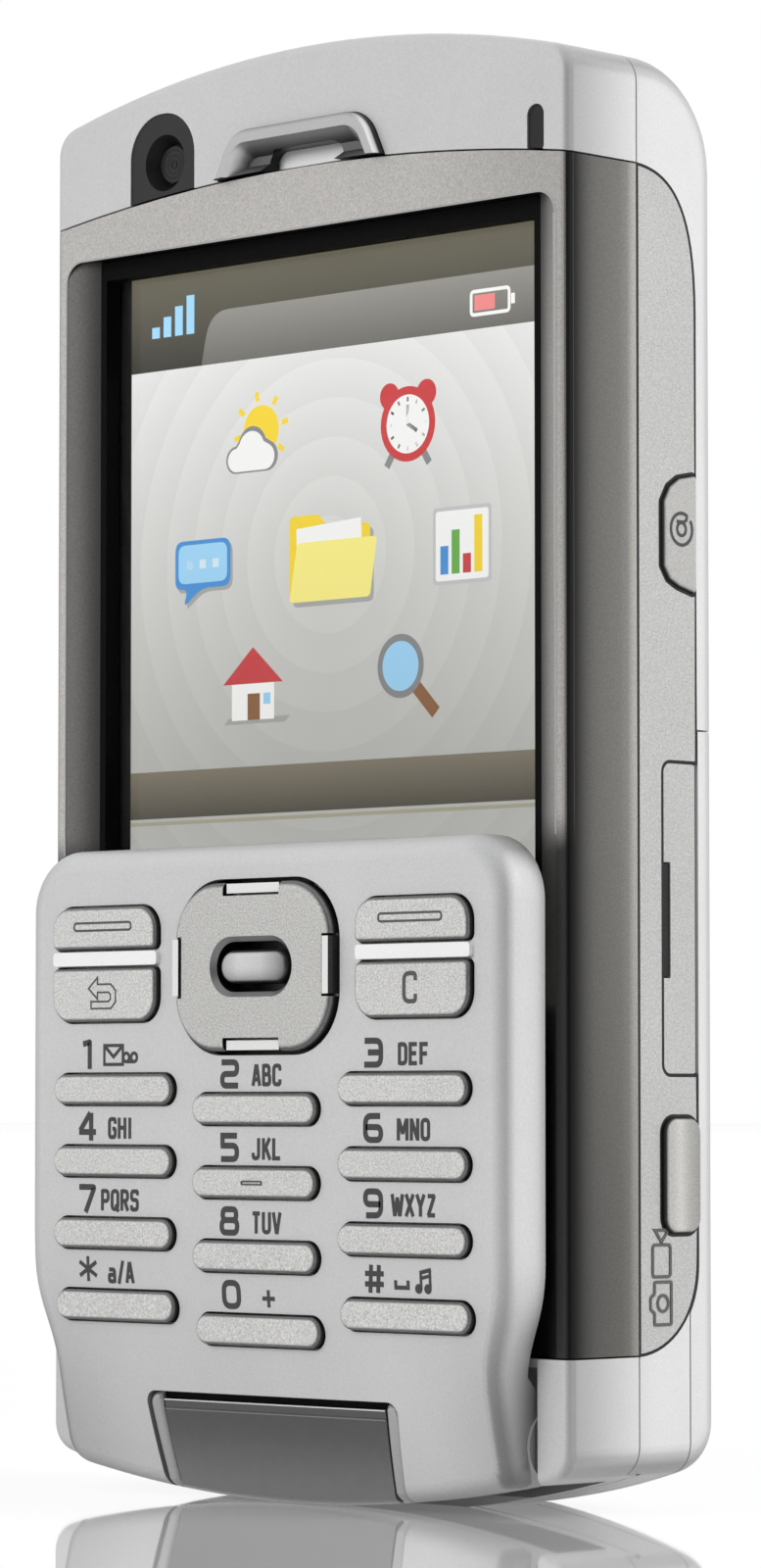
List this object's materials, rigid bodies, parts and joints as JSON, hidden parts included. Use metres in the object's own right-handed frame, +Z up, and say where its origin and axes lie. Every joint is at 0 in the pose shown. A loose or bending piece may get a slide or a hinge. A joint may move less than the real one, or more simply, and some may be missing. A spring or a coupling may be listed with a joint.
{
  "type": "mobile phone",
  "caption": "Upright touch-screen phone with a keypad flip on a bottom hinge, a hidden keyboard, side keys, card door, jog dial and stylus.",
  "frame": {"origin": "centre of the bounding box at the base, with the phone standing upright", "axes": "+Z up along the length, -Y out of the screen, +X to the right as seen from the front"},
  "size_m": [0.058, 0.025, 0.114],
  "materials": {
    "silver_paint": "satin metallic silver paint",
    "graphite_metallic": "satin warm graphite paint",
    "side_silver": "fine sparkle silver paint",
    "key_silver": "satin silver paint",
    "bright_trim": "bright plated trim",
    "black_plastic": "fine matt moulding",
    "grey_rubber": "matt",
    "badge_gloss": "polished",
    "screen_glass": "clear",
    "display": "lit panel",
    "circuit_board": "solder mask",
    "steel": "turned"
  },
  "bodies": {
    "housing": {"bezel_frame": "graphite_metallic", "top_cap": "silver_paint", "chin_block": "silver_paint", "rear_housing": "silver_paint", "side_panel_right": "side_silver", "side_panel_left": "side_silver", "screen_gasket": "black_plastic", "touch_screen": "screen_glass", "lcd_module": "display", "main_board": "circuit_board", "battery": "display", "memory_card": "black_plastic", "front_camera_surround": "black_plastic", "front_camera_lens": "screen_glass", "earpiece_trim": "bright_trim", "earpiece_capsule": "black_plastic", "sensor_window": "black_plastic", "rear_camera_bezel": "bright_trim", "rear_camera_lens": "screen_glass", "photo_light": "screen_glass", "loudspeaker": "black_plastic", "keyboard_keys": "grey_rubber", "system_connector": "black_plastic", "hinge_pins": "steel", "vibration_motor": "steel"},
    "flip": {"flip_cover": "silver_paint", "flip_inner_cover": "black_plastic", "keypad_board": "circuit_board", "soft_key_strips": "bright_trim", "hinge_badge": "badge_gloss", "badge_frame": "bright_trim"},
    "battery_cover": {"battery_cover": "silver_paint"},
    "card_door": {"card_door": "side_silver"},
    "web_key": {"web_key": "side_silver"},
    "shutter_key": {"shutter_key": "side_silver"},
    "side_back_key": {"side_back_key": "side_silver"},
    "jog_dial": {"jog_dial": "black_plastic"},
    "power_key": {"power_key": "side_silver"},
    "stylus": {"stylus": "black_plastic"},
    "vibration_weight": {"vibration_weight": "steel"},
    "nav_light_guide": {"nav_light_guide": "bright_trim"},
    "nav_pad": {"nav_pad": "key_silver"},
    "key_1": {"key_1": "key_silver"},
    "key_2": {"key_2": "key_silver"},
    "key_3": {"key_3": "key_silver"},
    "key_4": {"key_4": "key_silver"},
    "key_5": {"key_5": "key_silver"},
    "key_6": {"key_6": "key_silver"},
    "key_7": {"key_7": "key_silver"},
    "key_8": {"key_8": "key_silver"},
    "key_9": {"key_9": "key_silver"},
    "key_star": {"key_star": "key_silver"},
    "key_0": {"key_0": "key_silver"},
    "key_hash": {"key_hash": "key_silver"},
    "soft_key_left": {"soft_key_left": "key_silver"},
    "soft_key_right": {"soft_key_right": "key_silver"},
    "key_back": {"key_back": "key_silver"},
    "key_clear": {"key_clear": "key_silver"},
    "select_key": {"select_key": "bright_trim"}
  },
  "joints": [
    {"name": "flip_hinge", "type": "hinge", "parent": "housing", "child": "flip", "pos_m": [0, -0.0048, 0.0054], "axis": [1, 0, 0], "range_deg": [0, 155]},
    {"name": "battery_cover_lift", "type": "slide", "parent": "housing", "child": "battery_cover", "axis": [0, 1, 0], "range_m": [0, 0.012]},
    {"name": "card_door_hinge", "type": "hinge", "parent": "housing", "child": "card_door", "pos_m": [0.0281, 0.007, 0.04495], "axis": [0, 0, 1], "range_deg": [0, 85]},
    {"name": "web_key_press", "type": "slide", "parent": "housing", "child": "web_key", "axis": [-1, 0, 0], "range_m": [0, 0.0004], "stiffness_N_per_m": 800},
    {"name": "shutter_key_press", "type": "slide", "parent": "housing", "child": "shutter_key", "axis": [-1, 0, 0], "range_m": [0, 0.0005], "stiffness_N_per_m": 800},
    {"name": "side_back_key_press", "type": "slide", "parent": "housing", "child": "side_back_key", "axis": [1, 0, 0], "range_m": [0, 0.0004], "stiffness_N_per_m": 800},
    {"name": "jog_dial_turn", "type": "hinge", "parent": "housing", "child": "jog_dial", "pos_m": [-0.0242, 0.0035, 0.082], "axis": [0, 1, 0], "continuous": true},
    {"name": "power_key_press", "type": "slide", "parent": "housing", "child": "power_key", "axis": [0, 0, -1], "range_m": [0, 0.0004], "stiffness_N_per_m": 800},
    {"name": "stylus_pull", "type": "slide", "parent": "housing", "child": "stylus", "axis": [0, 0, 1], "range_m": [0, 0.09]},
    {"name": "vibration_weight_spin", "type": "hinge", "parent": "housing", "child": "vibration_weight", "pos_m": [0.0012, 0.0084, 0.0655], "axis": [1, 0, 0], "continuous": true},
    {"name": "key_1_press", "type": "slide", "parent": "flip", "child": "key_1", "axis": [0, 1, 0], "range_m": [0, 0.00035], "stiffness_N_per_m": 800},
    {"name": "key_2_press", "type": "slide", "parent": "flip", "child": "key_2", "axis": [0, 1, 0], "range_m": [0, 0.00035], "stiffness_N_per_m": 800},
    {"name": "key_3_press", "type": "slide", "parent": "flip", "child": "key_3", "axis": [0, 1, 0], "range_m": [0, 0.00035], "stiffness_N_per_m": 800},
    {"name": "key_4_press", "type": "slide", "parent": "flip", "child": "key_4", "axis": [0, 1, 0], "range_m": [0, 0.00035], "stiffness_N_per_m": 800},
    {"name": "key_5_press", "type": "slide", "parent": "flip", "child": "key_5", "axis": [0, 1, 0], "range_m": [0, 0.00035], "stiffness_N_per_m": 800},
    {"name": "key_6_press", "type": "slide", "parent": "flip", "child": "key_6", "axis": [0, 1, 0], "range_m": [0, 0.00035], "stiffness_N_per_m": 800},
    {"name": "key_7_press", "type": "slide", "parent": "flip", "child": "key_7", "axis": [0, 1, 0], "range_m": [0, 0.00035], "stiffness_N_per_m": 800},
    {"name": "key_8_press", "type": "slide", "parent": "flip", "child": "key_8", "axis": [0, 1, 0], "range_m": [0, 0.00035], "stiffness_N_per_m": 800},
    {"name": "key_9_press", "type": "slide", "parent": "flip", "child": "key_9", "axis": [0, 1, 0], "range_m": [0, 0.00035], "stiffness_N_per_m": 800},
    {"name": "key_star_press", "type": "slide", "parent": "flip", "child": "key_star", "axis": [0, 1, 0], "range_m": [0, 0.00035], "stiffness_N_per_m": 800},
    {"name": "key_0_press", "type": "slide", "parent": "flip", "child": "key_0", "axis": [0, 1, 0], "range_m": [0, 0.00035], "stiffness_N_per_m": 800},
    {"name": "key_hash_press", "type": "slide", "parent": "flip", "child": "key_hash", "axis": [0, 1, 0], "range_m": [0, 0.00035], "stiffness_N_per_m": 800},
    {"name": "soft_key_left_press", "type": "slide", "parent": "flip", "child": "soft_key_left", "axis": [0, 1, 0], "range_m": [0, 0.00035], "stiffness_N_per_m": 800},
    {"name": "soft_key_right_press", "type": "slide", "parent": "flip", "child": "soft_key_right", "axis": [0, 1, 0], "range_m": [0, 0.00035], "stiffness_N_per_m": 800},
    {"name": "key_back_press", "type": "slide", "parent": "flip", "child": "key_back", "axis": [0, 1, 0], "range_m": [0, 0.00035], "stiffness_N_per_m": 800},
    {"name": "key_clear_press", "type": "slide", "parent": "flip", "child": "key_clear", "axis": [0, 1, 0], "range_m": [0, 0.00035], "stiffness_N_per_m": 800},
    {"name": "select_key_press", "type": "slide", "parent": "flip", "child": "select_key", "axis": [0, 1, 0], "range_m": [0, 0.00035], "stiffness_N_per_m": 800},
    {"name": "nav_sideways", "type": "hinge", "parent": "flip", "child": "nav_light_guide", "pos_m": [0, -0.00965, 0.0415], "axis": [0, 0, 1], "range_deg": [-2, 2], "stiffness_Nm_per_rad": 0.05},
    {"name": "nav_up_down", "type": "hinge", "parent": "nav_light_guide", "child": "nav_pad", "pos_m": [0, -0.0109, 0.0415], "axis": [1, 0, 0], "range_deg": [-2, 2], "stiffness_Nm_per_rad": 0.05}
  ]
}
